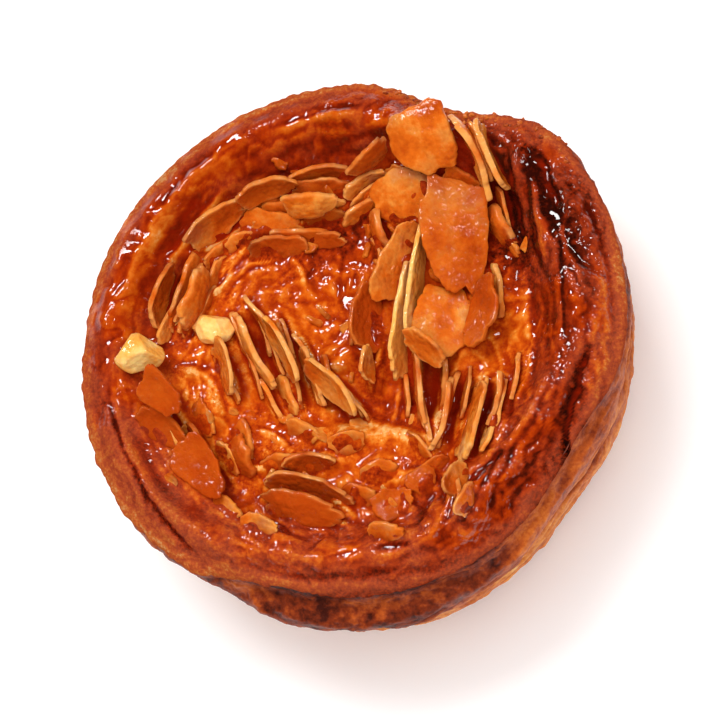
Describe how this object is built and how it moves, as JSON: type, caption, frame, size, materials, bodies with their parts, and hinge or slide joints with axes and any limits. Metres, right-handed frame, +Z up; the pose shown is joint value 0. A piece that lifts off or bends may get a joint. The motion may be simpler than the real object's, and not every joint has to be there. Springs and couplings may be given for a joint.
{
  "type": "kouign amann",
  "caption": "Round laminated butter pastry with a caramelised rim, a sunken glazed middle and flaked almonds standing in it.",
  "frame": {"origin": "centre of the flat base, on the surface it rests on", "axes": "+Z up out of the filled top; -Y towards the shelf that the wall's outer layer leaves under the lip, +X to its left as the shelf is faced"},
  "size_m": [0.0912, 0.0901, 0.0421],
  "materials": {
    "caramel_crust": "caramelised laminated dough, glossy on the rim and satin on the wall",
    "toasted_almond": "toasted flaked almond under a thin caramel glaze",
    "pale_almond": "lightly toasted almond, satin"
  },
  "bodies": {
    "root": {"almond_arc_back": "toasted_almond", "almond_arc_end": "toasted_almond", "almond_arc_flat": "toasted_almond", "almond_arc_front": "toasted_almond", "almond_arc_layer": "toasted_almond", "almond_arc_low": "toasted_almond", "almond_arc_upper": "toasted_almond", "almond_blade": "toasted_almond", "almond_chip": "toasted_almond", "almond_crown": "toasted_almond", "almond_crown_edge": "toasted_almond", "almond_crown_foot": "toasted_almond", "almond_crown_low": "toasted_almond", "almond_crown_under": "toasted_almond", "almond_edge": "toasted_almond", "almond_ember": "toasted_almond", "almond_fan_1": "toasted_almond", "almond_fan_2": "toasted_almond", "almond_fan_3": "toasted_almond", "almond_fan_4": "toasted_almond", "almond_fan_5": "toasted_almond", "almond_fan_6": "toasted_almond", "almond_left_1": "toasted_almond", "almond_left_2": "toasted_almond", "almond_left_3": "toasted_almond", "almond_lens_1": "toasted_almond", "almond_lens_2": "toasted_almond", "almond_lens_top": "toasted_almond", "almond_low": "toasted_almond", "almond_right_1": "toasted_almond", "almond_right_2": "toasted_almond", "almond_right_3": "toasted_almond", "almond_right_4": "toasted_almond", "almond_rim": "toasted_almond", "almond_shore_1": "toasted_almond", "almond_shore_2": "toasted_almond", "almond_shore_3": "toasted_almond", "almond_shore_4": "toasted_almond", "almond_shore_5": "toasted_almond", "almond_sliver_1": "toasted_almond", "almond_sliver_2": "toasted_almond", "almond_sunk_1": "toasted_almond", "almond_sunk_2": "toasted_almond", "almond_tall_1": "pale_almond", "almond_tall_2": "pale_almond", "almond_tip": "toasted_almond", "almond_tip_upper": "toasted_almond", "almond_wedge": "toasted_almond", "dough": "caramel_crust", "nib_bed": "pale_almond", "nib_rim": "pale_almond"}
  },
  "joints": []
}
